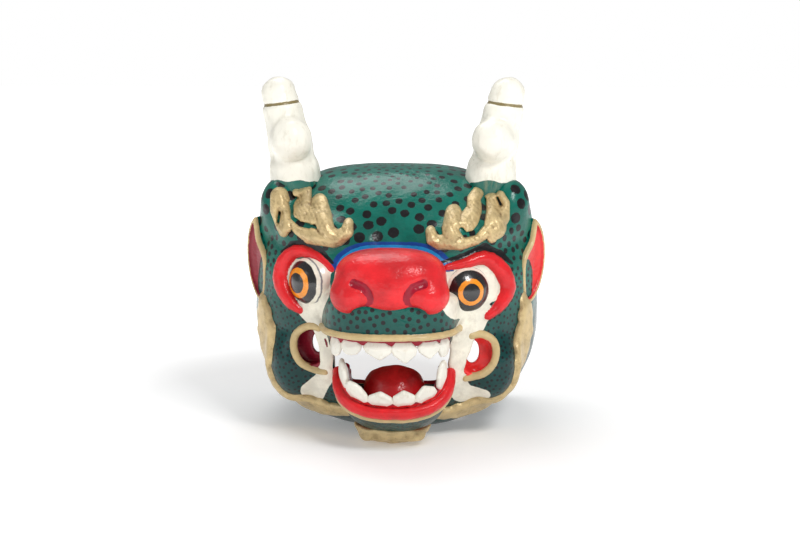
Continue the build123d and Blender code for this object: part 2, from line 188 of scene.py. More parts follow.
SCLERA = {            # white of the eye inside the lids
    "left": [(-88, 158, 20), (-74, 162, 17), (-60, 170, 5)],
    "right": [(76, 151, 28), (94, 153, 15), (86, 164, 14), (72, 164, 16), (58, 166, 7)],
}
MUZZLE_Y = -56
MUZZLE_RADIUS = 65
MUZZLE_FULLNESS = 2.6
LIP_Z = 116
MOUTH = ((1, -86, 83), (55, 66, 24))       # centre and half size
CORNERS = {           # curled mouth corners: x and z of the dish, of its hole, and of the gilt rim
    "left": {"dish": (-78, 94), "hole": (-71, 96), "hole_radii": (5.5, 10),
             "rim": [(-69, 114), (-75, 115), (-84, 112), (-93, 103), (-94, 90), (-88, 78), (-78, 72),
                     (-69, 70), (-63, 70)]},
    "right": {"dish": (82, 86), "hole": (77, 88), "hole_radii": (6.5, 12),
              "rim": [(76, 107), (81, 108), (88, 107), (97, 100), (100, 90), (97, 78), (88, 69),
                      (78, 65), (71, 64)]},
}
DISH_RADII = (17, 20)


def gaze(side):
    """Unit direction in which an eye looks."""
    turn = radians(EYES[side]["turn"])
    return (sin(turn), -cos(turn), 0.0)


def eye_centre(side):
    """Centre of the eyeball's sphere, inside the head."""
    look = gaze(side)
    return tuple(EYES[side]["centre"][i] - EYE_SUNK * look[i] for i in range(3))


def round_front(across, forward, radius, depth, power):
    """Distance in plan to a rounded front, a radius wide to each side and a depth forward."""
    forward = np.clip(forward, 0, None)
    return ((np.abs(across) / radius) ** power + (forward / depth) ** power) ** (1 / power) * radius - radius


def reach_of(across, radius, depth, power):
    """How far forward such a rounded front lies at one place across."""
    return depth * max(1 - (abs(across) / radius) ** power, 0) ** (1 / power)


def muzzle_plan(p, radius):
    return round_front(p[0], MUZZLE_Y - p[1], radius, radius, MUZZLE_FULLNESS)


def oval(p, centre, radii):
    """Distance in front view to an oval whose centre and radii are given as x and z."""
    (cx, cz), (rx, rz) = centre, radii
    return (np.sqrt(((p[0] - cx) / rx) ** 2 + ((p[2] - cz) / rz) ** 2) - 1) * rx


def nose_shape(p):
    """Distance to the nose: a wide pillow with two round wings and curled nostril grooves."""
    x, y, z = p
    u, v, w = np.abs(x - 1) / 52, np.abs(y + 90) / 37, np.abs(z - 164) / 30
    pillow = ((u**2.7 + w**2.7) ** (2.3 / 2.7) + v**2.3) ** (1 / 2.3) * 36 - 36
    m = (np.abs(x - 1), y, z)
    wings = ellipsoid(m, (35, -104, 153), (20, 21, 18))
    tip = ellipsoid(m, (0, -110, 160), (19, 17, 20))
    nose = smooth_min(smooth_min(pillow, wings, 6), tip, 8)
    groove = chain(m, curve([(32, -122, 167), (22, -126, 163), (17, -126, 153), (20, -124, 144),
                             (30, -117, 139)], 14), 3.4)
    return smooth_max(nose, -groove, 4)


def nostril(p):
    """Distance to the nostril grooves, for the darker red painted in them as painted shade."""
    m = (np.abs(p[0] - 1), p[1], p[2])
    return chain(m, curve([(32, -121, 167), (22, -125, 163), (17, -126, 153), (20, -123, 144),
                           (30, -116, 139)], 14), 4.2)


def lid_ridge(p, side):
    """Distance to an eyelid's rolled ridge."""
    count = len(LIDS[side])
    radii = np.interp(np.linspace(0, count - 1, 16), range(count), LID_RADII[side])
    return chain(p, curve(LIDS[side], 16), radii)


def face(p):
    """Distance to the head's outer surface with ridges, cheeks, lids and muzzle, but no openings."""
    y, z = p[1], p[2]
    m = mirrored(p)
    d = head_form(p)
    brow = chain(m, [(26, -54, 194), (60, -50, 201), (94, -30, 203), (116, -6, 205)], [8, 12, 12, 8], 8)
    d = smooth_min(d, brow, 12)
    d = smooth_min(d, ellipsoid(m, (112, 0, 222), (20, 24, 27)), 12)
    d = smooth_min(d, ellipsoid(m, (94, -34, 74), (26, 26, 36)), 8)
    body = smooth_max(muzzle_plan(p, MUZZLE_RADIUS), np.abs(z - 131) - 19, 9)
    body = smooth_max(body, y + 40, 4)
    gum = smooth_max(muzzle_plan(p, MUZZLE_RADIUS - 4), np.abs(z - 112) - 7, 3)
    gum = smooth_max(gum, y + 62, 4)
    ring = muzzle_plan(p, MUZZLE_RADIUS + 0.5)
    lip = smooth_max(np.sqrt(ring**2 + (z - LIP_Z) ** 2) - 2.8, y + 66, 3)
    d = smooth_min(d, smooth_min(smooth_min(body, gum, 2), lip, 1.5), 6)
    d = smooth_min(d, ellipsoid(m, (122, 8, 200), (12, 15, 22)), 10)
    for side in EYES:
        d = smooth_min(d, lid_ridge(p, side), 2.5)
    return d + 0.35 * ripple(p, 31)


def mouth_opening(p):
    """Distance to the see-through mouth and the hollow under the muzzle."""
    z = p[2]
    opening = block(p, *MOUTH, 14)
    hollow = smooth_max(smooth_max(muzzle_plan(p, MUZZLE_RADIUS - 16), z - 124, 6), 60 - z, 4)
    return smooth_min(opening, hollow, 4)


def shell_shape(p):
    """Distance to the hollow head with its mouth, mouth corners, neck and open back."""
    y, z = p[1], p[2]
    skin = face(p)
    d = smooth_max(skin, -(head_form(p) + WALL + 0.8 * ripple(p, 23, 1.0)), 2)
    d = smooth_max(d, -mouth_opening(p), 3)
    for side in CORNERS:
        hole = smooth_max(oval(p, CORNERS[side]["dish"], DISH_RADII), y + 20, 2)
        d = smooth_max(d, -hole, 1.5)
        # the cream strut stands in front of the mouth corner
        strut = [(a, -66, b) for a, b, _ in CREAM[side][3:8]]
        widths = [0.8 * w for _, _, w in CREAM[side][3:8]]
        d = smooth_min(d, smooth_max(chain(p, strut, widths, 4), skin - 1, 3), 2)
    # the ears are let into the sides of the head
    d = smooth_max(d, -smooth_max(ear_leaf(p) + 1, -ear_frame(p)[2] - 3, 1), 1)
    d = smooth_max(d, -block(p, (0, 102, 0), (68, 84, 26), 18), 4)
    d = smooth_max(d, y - RIM_Y, 3)
    return smooth_max(d, -z, 2)


# ---------------------------------------------------------------- meshes from distance functions
def slope_of(shape, points, e=0.15):
    """Gradient of a distance function at an (n, 3) array of points."""
    steps = []
    for axis in range(3):
        ahead, behind = points.copy(), points.copy()
        ahead[:, axis] += e
        behind[:, axis] -= e
        steps.append((shape(ahead.T) - shape(behind.T)) / (2 * e))
    return np.stack(steps, 1)


def sample_grid(shape, axes, step):
    """The distance on a grid, worked out finely only near the surface."""
    grid = np.meshgrid(*axes, indexing="ij")
    skip = 4
    rough = shape([g[::skip, ::skip, ::skip] for g in grid])
    wide = rough
    for axis in range(3):
        wide = np.repeat(wide, skip, axis)
    wide = wide[:len(axes[0]), :len(axes[1]), :len(axes[2])].copy()
    near = np.abs(wide) < 9 * step
    wide[near] = shape([g[near] for g in grid])
    return wide


def surface_net(shape, low, high, step):
    """Vertices and outward quads of a shape's surface, which lies between two corners."""
    axes = [np.arange(low[i] - 2.5 * step, high[i] + 3 * step, step) for i in range(3)]
    d = sample_grid(shape, axes, step)
    size = d.shape
    sums, hits = np.zeros((3, d.size)), np.zeros(d.size)
    quads = []
    for axis in range(3):
        lower = tuple(slice(0, -1) if i == axis else slice(None) for i in range(3))
        upper = tuple(slice(1, None) if i == axis else slice(None) for i in range(3))
        at = np.argwhere((d[lower] < 0) != (d[upper] < 0))
        a, b = d[lower][tuple(at.T)], d[upper][tuple(at.T)]
        crossing = at.astype(float)
        crossing[:, axis] += a / (a - b)
        u, v = (axis + 1) % 3, (axis + 2) % 3
        corners = []
        for du, dv in ((0, 0), (-1, 0), (-1, -1), (0, -1)):
            cell = at.copy()
            cell[:, u] += du
            cell[:, v] += dv
            flat = np.ravel_multi_index(cell.T, size)
            hits += np.bincount(flat, minlength=d.size)
            for i in range(3):
                sums[i] += np.bincount(flat, crossing[:, i], d.size)
            corners.append(flat)
        faces = np.stack(corners, 1)
        faces[a > 0] = faces[a > 0][:, ::-1]
        quads.append(faces)
    quads = np.concatenate(quads)
    used, numbered = np.unique(quads, return_inverse=True)
    points = (sums[:, used] / hits[used]).T * step + [axis[0] for axis in axes]
    for _ in range(3):
        slope = slope_of(shape, points)
        move = shape(points.T)[:, None] * slope / ((slope**2).sum(1)[:, None] + 0.05)
        points -= np.clip(move, -0.45 * step, 0.45 * step)
    return points, numbered.reshape(quads.shape)


def put(name, data):
    """A new object in the scene."""
    made = bpy.data.objects.new(name, data)
    bpy.context.scene.collection.objects.link(made)
    return made


def stand_for(piece, slot, *nodes):
    """Lets a piece ride on the mask in place of some CAD nodes."""
    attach(piece, BODY)
    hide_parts(*nodes)


def make_piece(name, points, faces, material, slot, *nodes):
    """A smooth-shaded object from points in millimetres, standing for CAD nodes."""
    mesh = bpy.data.meshes.new(name)
    mesh.from_pydata((np.asarray(points) * MM).tolist(), [], faces)
    mesh.shade_smooth()
    mesh.materials.append(material)
    piece = put(name, mesh)
    stand_for(piece, slot, *nodes)
    return piece


def sculpt(name, shape, low, high, step, material, slot, zones=None, nodes=()):
    """A sculpted piece, with each paint zone's distance stored on its points."""
    points, faces = surface_net(shape, low, high, step)
    piece = make_piece(name, points, faces.tolist(), material, slot, *nodes)
    for zone, distance in (zones or {}).items():
        layer = piece.data.attributes.new(zone, "FLOAT", "POINT")
        layer.data.foreach_set("value", np.asarray(distance(points.T), np.float32))
    return piece


def add_dots(piece, spacing, radius, wanted, seed):
    """Painted dots: each face corner stores its offset from the nearest dot, in dot radii."""
    mesh = piece.data
    points = np.empty(len(mesh.vertices) * 3)
    mesh.vertices.foreach_get("co", points)
    points = points.reshape(-1, 3) / MM
    keep = np.flatnonzero(wanted(points.T) < 0)
    gaps = spacing(points.T)
    cells = {}
    centres = []
    pitch = float(gaps[keep].max())
    for i in np.random.default_rng(seed).permutation(keep):
        q = points[i]
        home = tuple((q // pitch).astype(int))
        block_of_cells = [(home[0] + a, home[1] + b, home[2] + c)
                          for a in (-1, 0, 1) for b in (-1, 0, 1) for c in (-1, 0, 1)]
        around = [j for cell in block_of_cells for j in cells.get(cell, ())]
        if around and (((points[around] - q) ** 2).sum(1) < gaps[i] ** 2).any():
            continue
        cells.setdefault(home, []).append(i)
        centres.append(i)
    spots = points[centres].copy()
    sizes = radius(spots.T)
    tree = kdtree.KDTree(len(spots))
    for i, q in enumerate(spots):
        tree.insert(q, i)
    tree.balance()
    faces = np.empty(len(mesh.loops), int)
    mesh.loops.foreach_get("vertex_index", faces)
    faces = faces.reshape(-1, 4)
    middles = points[faces].mean(1)
    nearest = np.array([tree.find(q)[1] for q in middles])
    offsets = (points[faces] - spots[nearest][:, None]) / sizes[nearest][:, None, None]
    layer = mesh.attributes.new("dots", "FLOAT_VECTOR", "CORNER")
    layer.data.foreach_set("vector", offsets.astype(np.float32).ravel())


# ---------------------------------------------------------------- materials
def srgb(r, g, b):
    """A colour given in 0-255 display values, as Blender's linear colour."""
    return tuple((c / 255 / 12.92 if c <= 10 else ((c / 255 + 0.055) / 1.055) ** 2.4)
                 for c in (r, g, b)) + (1.0,)


# the second green is the same green paint darkened, as painted shade on the lower cheeks and the lower jaw
GREEN, SHADED_GREEN = srgb(0, 101, 87), srgb(3, 60, 58)
# the darkest of these reds is red paint darkened, as painted shade on the gum under the lip, in the hollow of
# the jaw and in the nostril grooves
RED, BRIGHT_RED, SHADED_RED = srgb(222, 38, 44), srgb(222, 34, 40), srgb(160, 14, 42)
TONGUE_RED, CORAL = srgb(206, 34, 38), srgb(232, 52, 52)
# the second cream is the colour of dirt in brush streaks and also of the painted shade in the hollows of the
# enamel
CREAM_WHITE, CREAM_DIRT_AND_SHADE = srgb(242, 237, 220), srgb(164, 152, 118)
IVORY = srgb(244, 241, 228)
GOLD, BROWN = srgb(208, 184, 134), srgb(104, 74, 34)
BLACK, ORANGE, GREY = srgb(16, 15, 18), srgb(247, 150, 6), srgb(122, 124, 128)
LIGHT_BLUE, DARK_BLUE, LILAC = srgb(22, 140, 206), srgb(10, 66, 150), srgb(150, 130, 160)
RAW_WOOD = srgb(168, 126, 84)


class Paint:
    """A material's node tree, with short names for the steps that build it."""

    def __init__(self, name, roughness=0.3, coat=0.0, metallic=0.0):
        self.material = bpy.data.materials.new(name)
        self.material.use_nodes = True
        self.tree = self.material.node_tree
        self.surface = self.tree.nodes["Principled BSDF"]
        self.surface.inputs["Roughness"].default_value = roughness
        self.surface.inputs["Coat Weight"].default_value = coat
        self.surface.inputs["Coat Roughness"].default_value = 0.06
        self.surface.inputs["Metallic"].default_value = metallic
        self.place = self.tree.nodes.new("ShaderNodeTexCoord").outputs["Object"]

    def node(self, kind, settings=None, **inputs):
        """A new node with some settings and inputs; inputs are numbers, colours or sockets."""
        made = self.tree.nodes.new("ShaderNode" + kind)
        for key, value in (settings or {}).items():
            setattr(made, key, value)
        for key, value in inputs.items():
            numbered = key[0] == "i" and key[1:].isdigit()
            self.feed(made.inputs[int(key[1:]) if numbered else key.replace("_", " ")], value)
        return made

    def feed(self, socket, value):
        """Puts a value or another node's output into a socket."""
        if isinstance(value, bpy.types.NodeSocket):
            self.tree.links.new(value, socket)
        elif isinstance(value, tuple):
            socket.default_value = value[:len(socket.default_value)]
        else:
            socket.default_value = value

    def math(self, operation, a, b=0.0, clamp=False):
        return self.node("Math", {"operation": operation, "use_clamp": clamp}, i0=a, i1=b).outputs[0]

    def times(self, a, b):
        return self.math("MULTIPLY", a, b)

    def noise(self, size_mm, detail=3.0, roughness=0.55, stretch=None):
        """Noise between 0 and 1 whose features are about size_mm across."""
        place = self.place
        if stretch:
            place = self.node("Mapping", i0=place, i3=stretch).outputs[0]
        return self.node("TexNoise", Vector=place, Scale=1000.0 / size_mm, Detail=detail,
                         Roughness=roughness).outputs["Fac"]

    def steps(self, value, low, high):
        """Maps low..high of a value to 0..1, with ends held."""
        return self.node("MapRange", Value=value, From_Min=low, From_Max=high).outputs[0]

    def uneven(self, size_mm, detail, low, high):
        """A number that wanders between low and high."""
        return self.node("MapRange", Value=self.noise(size_mm, detail), To_Min=low, To_Max=high).outputs[0]

    def mix(self, factor, a, b):
        return self.node("Mix", {"data_type": "RGBA"}, i0=factor, i6=a, i7=b).outputs[2]

    def shade(self, colour, size_mm, dark=0.8, light=1.15):
        """Uneven paint: the colour gets darker and lighter over patches."""
        level = self.node("MapRange", Value=self.noise(size_mm), From_Min=0.3, From_Max=0.7,
                          To_Min=dark, To_Max=light).outputs[0]
        return self.node("VectorMath", {"operation": "SCALE"}, i0=colour, Scale=level).outputs[0]

    def zone(self, name):
        """The stored distance of a paint zone, in mm, with the edge of a hand-held brush."""
        wobble = self.times(self.math("SUBTRACT", self.noise(5.0, 2.0), 0.5), 1.2)
        return self.math("ADD", self.node("Attribute", {"attribute_name": name}).outputs["Fac"], wobble)

    def inside(self, distance, edge=0.0, soft=0.15):
        """1 where a distance is below the edge, 0 above it."""
        return self.steps(distance, edge + soft, edge - soft)

    def painted(self, colour, layers):
        """The colour with zones painted over it, each as (zone, edge in mm, colour)."""
        for zone, edge, tint in layers:
            colour = self.mix(self.inside(self.zone(zone), edge), colour, self.shade(tint, 14, 0.86, 1.1))
        return colour

    def bump(self, *layers):
        """Relief from (height 0..1, depth in mm) layers, onto the surface and its coat."""
        normal = None
        for height, depth in layers:
            made = self.node("Bump", Height=height, Distance=depth * MM, Strength=1.0)
            if normal:
                self.feed(made.inputs["Normal"], normal)
            normal = made.outputs[0]
        self.feed(self.surface.inputs["Normal"], normal)
        self.feed(self.surface.inputs["Coat Normal"], normal)

    def pointed(self, low, high):
        """0 in hollows and 1 on ridges, from the mesh's own curvature."""
        return self.steps(self.node("NewGeometry").outputs["Pointiness"], low, high)

    def done(self, colour, roughness=None):
        self.feed(self.surface.inputs["Base Color"], colour)
        if roughness is not None:
            self.feed(self.surface.inputs["Roughness"], roughness)
        return self.material


def lacquered(name, base, layers=(), dots=None, wood=None, relief=0.5, low=None):
    """Brushed enamel under varnish: base colour, painted zones, dots, and bare wood where it ends.

    Later layers lie over earlier ones. Down the cheeks the base colour turns into the low colour, a darker
    copy of it, as painted shade.
    """
    paint = Paint(name, 0.34, coat=0.32)
    paint.surface.inputs["Coat Roughness"].default_value = 0.12
    paint.surface.inputs["Specular IOR Level"].default_value = 0.22
    colour = paint.shade(base, 26, 0.78, 1.2)
    # painted shade: the lower part, below about 110 to 170 mm up, turns into the darker low colour
    if low:
        height = paint.node("SeparateXYZ", i0=paint.place).outputs["Z"]
        height = paint.math("ADD", height, paint.times(paint.noise(40), 0.02))
        colour = paint.mix(paint.steps(height, 0.17, 0.11), colour, paint.shade(low, 26, 0.78, 1.2))
    if dots:
        offset = paint.node("Attribute", {"attribute_name": "dots"}).outputs["Vector"]
        ragged = paint.times(paint.noise(3.0, 2.0), 0.34)
        length = paint.node("VectorMath", {"operation": "LENGTH"}, i0=offset).outputs["Value"]
        colour = paint.mix(paint.steps(paint.math("ADD", length, ragged), 1.2, 1.12), colour, dots)
    colour = paint.painted(colour, layers)
    # random dirt patches, and painted shade in the hollows of the carving, darken the paint towards brown
    dirt = paint.times(paint.steps(paint.noise(9, 5, 0.7), 0.5, 0.75), 0.3)
    hollow_shade = paint.times(paint.pointed(0.49, 0.44), 0.55)
    colour = paint.mix(paint.math("ADD", dirt, hollow_shade, True), colour,
                       paint.node("VectorMath", {"operation": "MULTIPLY"}, i0=colour,
                                  i1=(0.42, 0.36, 0.3)).outputs[0])
    chips = paint.times(paint.pointed(0.545, 0.58), paint.steps(paint.noise(4, 4), 0.58, 0.66))
    colour = paint.mix(chips, colour, paint.shade(RAW_WOOD, 8))
    brush = paint.noise(6, 3, 0.6, (1, 1, 2.0))
    dimple = paint.noise(3.2, 2, 0.5)
    rough = paint.uneven(12, 4, 0.22, 0.46)
    if wood:
        grain = paint.noise(16, 6, 0.7, (1, 1, 0.12))
        bare = paint.mix(paint.steps(grain, 0.35, 0.65), srgb(150, 104, 66), srgb(198, 158, 112))
        bare = paint.mix(paint.steps(paint.noise(14, 4), 0.6, 0.72), bare, srgb(96, 62, 38))
        is_bare = paint.inside(paint.zone(wood))
        colour = paint.mix(is_bare, colour, bare)
        coat = paint.times(paint.math("SUBTRACT", 1.0, is_bare), 0.32)
        paint.feed(paint.surface.inputs["Coat Weight"], coat)
        rough = paint.math("MAXIMUM", rough, paint.times(is_bare, 0.62))
    paint.bump((brush, 0.8 * relief), (dimple, 0.35 * relief))
    return paint.done(colour, rough)


def gilded(name):
    """Gold paint over carving: brown patina in the hollows, rubbed bright on the ridges."""
    paint = Paint(name, 0.38, coat=0.2, metallic=0.35)
    colour = paint.shade(GOLD, 16, 0.85, 1.15)
    hollow = paint.pointed(0.505, 0.46)
    stain = paint.steps(paint.noise(7, 6, 0.75), 0.5, 0.72)
    patina = paint.math("ADD", paint.times(hollow, 0.7), paint.times(stain, 0.5), True)
    colour = paint.mix(patina, colour, BROWN)
    colour = paint.mix(paint.times(paint.pointed(0.53, 0.57), 0.6), colour, srgb(235, 214, 165))
    rough = paint.uneven(6, 4, 0.26, 0.6)
    paint.bump((paint.noise(5, 4, 0.6), 0.6), (paint.noise(1.6, 2), 0.12))
    return paint.done(colour, rough)


def enamelled(name, base=IVORY, dirt=CREAM_DIRT_AND_SHADE, streak=(1, 1, 0.3), layers=()):
    """Thick cream enamel with fine brush streaks of yellow-brown dirt, and its hollows darkened to the same
    colour as painted shade.
    """
    paint = Paint(name, 0.4, coat=0.3)
    colour = paint.shade(base, 22, 0.93, 1.04)
    colour = paint.painted(colour, layers)
    streaks = paint.times(paint.steps(paint.noise(6, 5, 0.7, streak), 0.52, 0.75), 0.35)
    # painted shade: the hollows are darkened to the dirt colour
    hollow = paint.times(paint.pointed(0.485, 0.42), 0.8)
    colour = paint.mix(paint.math("ADD", streaks, hollow, True), colour, dirt)
    rough = paint.uneven(8, 4, 0.3, 0.55)
    paint.bump((paint.noise(6, 4, 0.6, streak), 0.5), (paint.noise(1.8, 2), 0.1))
    return paint.done(colour, rough)


def eye_paint(name, pupil, ring, iris):
    """Rings painted round the gaze: pupil, orange ring, black iris, thin grey line, cream white.

    The eye's flat back, inside the hollow, is bare wood.
    """
    paint = Paint(name, 0.28, coat=0.8)
    away = paint.zone("gaze")
    colour = paint.shade(CREAM_WHITE, 12, 0.93, 1.04)
    rings = ((iris + 3.2, GREY), (iris + 2.4, CREAM_WHITE), (iris, BLACK), (ring, ORANGE), (pupil, BLACK))
    for edge, tint in rings:
        colour = paint.mix(paint.inside(away, edge, 0.2), colour, paint.shade(tint, 9, 0.85, 1.1))
    wood = paint.shade(srgb(170, 124, 80), 9, 0.85, 1.1)
    colour = paint.mix(paint.inside(paint.zone("back"), 0, 0.3), colour, wood)
    rough = paint.uneven(7, 4, 0.18, 0.4)
    paint.bump((paint.noise(6, 3), 0.3), (paint.noise(2.2, 2), 0.08))
    return paint.done(colour, rough)


def plain_wood(name):
    """Bare pale wood with long grain."""
    paint = Paint(name, 0.6)
    grain = paint.noise(14, 6, 0.7, (1, 1, 0.1))
    colour = paint.mix(paint.steps(grain, 0.35, 0.65), srgb(150, 106, 66), srgb(202, 164, 116))
    paint.bump((grain, 0.3))
    return paint.done(colour)


def metal(name, tint, roughness):
    """Worn metal wire with tarnished patches."""
    paint = Paint(name, roughness, metallic=1.0)
    colour = paint.mix(paint.steps(paint.noise(5, 4), 0.45, 0.7), tint, srgb(88, 70, 52))
    rough = paint.uneven(3, 4, roughness - 0.1, roughness + 0.25)
    paint.bump((paint.noise(1.2, 3), 0.05))
    return paint.done(colour, rough)


def cloth(name, light, dark, pitch, depth):
    """Woven or felted cloth: crossing threads with fuzz and uneven colour."""
    paint = Paint(name, 0.92)
    waves = [paint.node("TexWave", {"bands_direction": way}, Vector=paint.place, Scale=1000 / pitch / 6.3,
                        Distortion=1.2, Detail=1.0).outputs["Fac"] for way in ("DIAGONAL", "Z")]
    threads = paint.times(*waves)
    fuzz = paint.noise(1.1, 4, 0.7)
    colour = paint.mix(paint.times(paint.math("ADD", threads, fuzz), 0.5), dark, light)
    paint.surface.inputs["Sheen Weight"].default_value = 0.3
    paint.bump((threads, depth), (fuzz, depth * 0.6))
    return paint.done(paint.shade(colour, 18, 0.8, 1.15))


GILT = gilded("gilt")
WOOD = plain_wood("bare_wood")
STEEL = metal("nail_steel", srgb(150, 150, 152), 0.35)
BRASS = metal("eyelet_brass", srgb(196, 160, 84), 0.3)


# ---------------------------------------------------------------- paint zones of the head
def in_front(p):
    """Keeps a front-facing paint zone off the back of the head."""
    return p[1] + 20


def flat_chain(p, points, k=2):
    """Distance in front view to a chain of (x, z, radius)."""
    return chain((p[0], p[2]), [(x, z) for x, z, _ in points], [r for _, _, r in points], k)


def cream_zone(p):
    zones = [flat_chain(p, shape[side]) for shape in (CREAM, SCLERA) for side in EYES]
    return np.maximum(np.minimum.reduce(zones), in_front(p))


def lid_zone(p):
    zones = [lid_ridge(p, side) - 0.9 for side in EYES]
    return np.minimum(*zones)


def black_zone(p):
    arcs = [flat_chain(p, [(x, z, r) for (x, z), r in zip(BLACK_ARCS[side], (1.2, 3.0, 3.6, 3.0, 1.0))])
            for side in EYES]
    return np.maximum(np.minimum(*arcs), in_front(p))


def blue_zone(p):
    return np.maximum(nose_shape(p), 178 - p[2])


def lip_zone(p):
    ring = muzzle_plan(p, MUZZLE_RADIUS + 0.5)
    return np.maximum(np.sqrt(ring**2 + (p[2] - LIP_Z) ** 2) - 3.6, p[1] + 62)


def gum_zone(p):
    below_lip = np.maximum(p[2] - (LIP_Z - 2.2), muzzle_plan(p, MUZZLE_RADIUS + 1))
    below_lip = np.maximum(below_lip, np.abs(p[0]) - 56)
    return np.maximum(np.maximum(below_lip, p[1] + 58), 97 - p[2])


def wood_zone(p):
    return face(p) + 4


def build_head():
    """The hollow carved head with its painted face."""
    # lower down the cheeks the green turns darker, as painted shade
    material = lacquered("painted_shell", GREEN, [
        ("cream", 0, CREAM_WHITE), ("blue", 9, DARK_BLUE), ("blue", 5.5, LIGHT_BLUE), ("blue", 1.6, LILAC),
        # the gum is painted a darker red, as painted shade under the lip's overhang
        ("black", 0, BLACK), ("lids", 0, BRIGHT_RED), ("lip", 0, GOLD), ("gum", 0, SHADED_RED),
    ], dots=BLACK, wood="wood", low=SHADED_GREEN)
    piece = sculpt("head_shell_carved", shell_shape, (-148, -126, 0), (148, RIM_Y, 262), 2.0, material,
                   "painted_shell",
                   {"cream": cream_zone, "blue": blue_zone, "black": black_zone, "lids": lid_zone,
                    "lip": lip_zone, "gum": gum_zone, "wood": wood_zone}, ["head_shell"])

    def size(p):
        """Dot radius: large over the brows, small on the crown, tiny on cheeks and muzzle."""
        crown = 2.0 + 3.4 * np.clip(np.maximum((252 - p[2]) / 45, (np.abs(p[0]) - 20) / 75), 0, 1)
        low = 1.5 + 2.3 * np.clip((p[2] - 150) / 60, 0, 1)
        r = np.where(p[2] > 205, crown, np.where(np.abs(p[0]) < 60, crown, low))
        muzzle = (p[1] < -62) & (p[2] < 150) & (np.abs(p[0]) < 68)
        r = np.where(muzzle, 2.1, r)
        return np.where((p[1] > -62) & (p[2] < 125), 1.35, r)

    def spacing(p):
        r = size(p)
        return 2.35 * r + 1.2 + 1.2 * (p[2] > 235)

    def clear(p):
        """Dots keep off other colours and off the bare wood."""
        painted = np.minimum.reduce([cream_zone(p), black_zone(p), lid_zone(p), blue_zone(p) - 9,
                                     lip_zone(p), gum_zone(p), wood_zone(p)])
        return size(p) * 0.6 - painted

    add_dots(piece, spacing, size, clear, 3)


def build_nose():
    # the nostril grooves are painted a darker red, as painted shade in the grooves
    material = lacquered("nose_lacquer", RED, [("nostril", 0, SHADED_RED)], relief=0.7)
    sculpt("nose_carved", lambda p: smooth_max(nose_shape(p), p[1] + 50, 2), (-54, -130, 132),
           (56, -48, 198), 1.3, material, "nose_lacquer", {"nostril": nostril}, ["nose"])


def build_eyes():
    for side, rings in EYE_RINGS.items():
        centre, look = eye_centre(side), gaze(side)

        def along(p):
            return sum((p[i] - centre[i]) * look[i] for i in range(3))

        def ball(p):
            reach = np.sqrt(sum((p[i] - centre[i]) ** 2 for i in range(3)))
            return smooth_max(reach - EYE_BALL, -along(p) + 2, 1)

        def off_gaze(p):
            reach2 = sum((p[i] - centre[i]) ** 2 for i in range(3))
            return np.sqrt(np.maximum(reach2 - along(p) ** 2, 0))

        low = [c - EYE_BALL for c in centre]
        high = [c + EYE_BALL for c in centre]
        material = eye_paint(f"eye_lacquer_{side}", *rings)
        sculpt(f"{side}_eye_painted", ball, low, high, 1.2, material, "eye_lacquer",
               {"gaze": off_gaze, "back": lambda p: along(p) - 4}, [f"{side}_eyeball"])


# ---------------------------------------------------------------- lower jaw, tongue and chin
JAW_AT = (3, -75, 73)
JAW_TILT = radians(37)
LIP_N = -6            # height of the rolled lip above the jaw's rim plane
GILT_N = -14          # height of the gold line under the lip
JAW_FULLNESS = 2.4
JAW_FLATNESS = 8      # how much less the jaw reaches forward than to each side


def jaw_frame(p):
    """Across, along (towards the back) and up from the jaw's rim plane."""
    y, z = p[1] - JAW_AT[1], p[2] - JAW_AT[2]
    return p[0] - JAW_AT[0], y * cos(JAW_TILT) + z * sin(JAW_TILT), z * cos(JAW_TILT) - y * sin(JAW_TILT)


def jaw_point(u, v, n):
    """The place of a point given across, along and up from the jaw's rim plane."""
    return (JAW_AT[0] + u, JAW_AT[1] + v * cos(JAW_TILT) - n * sin(JAW_TILT),
            JAW_AT[2] + v * sin(JAW_TILT) + n * cos(JAW_TILT))


def jaw_plan(p, radius):
    u, v, _ = jaw_frame(p)
    return round_front(u, -v, radius, radius - JAW_FLATNESS, JAW_FULLNESS)


def jaw_shape(p):
    v, n = jaw_frame(p)[1:]
    outer = jaw_plan(p, 55 - 9 * np.clip((-n - 8) / 36, 0, 1) ** 1.5)
    body = smooth_max(smooth_max(outer, n + 3, 3), -n - 46, 8)
    lip = np.sqrt(jaw_plan(p, 53.5) ** 2 + (0.85 * (n - LIP_N)) ** 2) - 5.2
    gum = np.sqrt(jaw_plan(p, 46) ** 2 + (n - 0.5) ** 2) - 4.6
    gilt = np.sqrt(jaw_plan(p, 55) ** 2 + (n - GILT_N) ** 2) - 2.4
    d = smooth_min(smooth_min(smooth_min(body, lip, 1.5), gum, 1.5), gilt, 1)
    hollow = smooth_max(jaw_plan(p, 41), -n - 20, 5)
    d = smooth_max(d, -hollow, 2)
    d = smooth_max(d, v - 8, 3)
    return smooth_max(d, 4 - p[2], 2) + 0.3 * ripple(p, 19, 2.0)


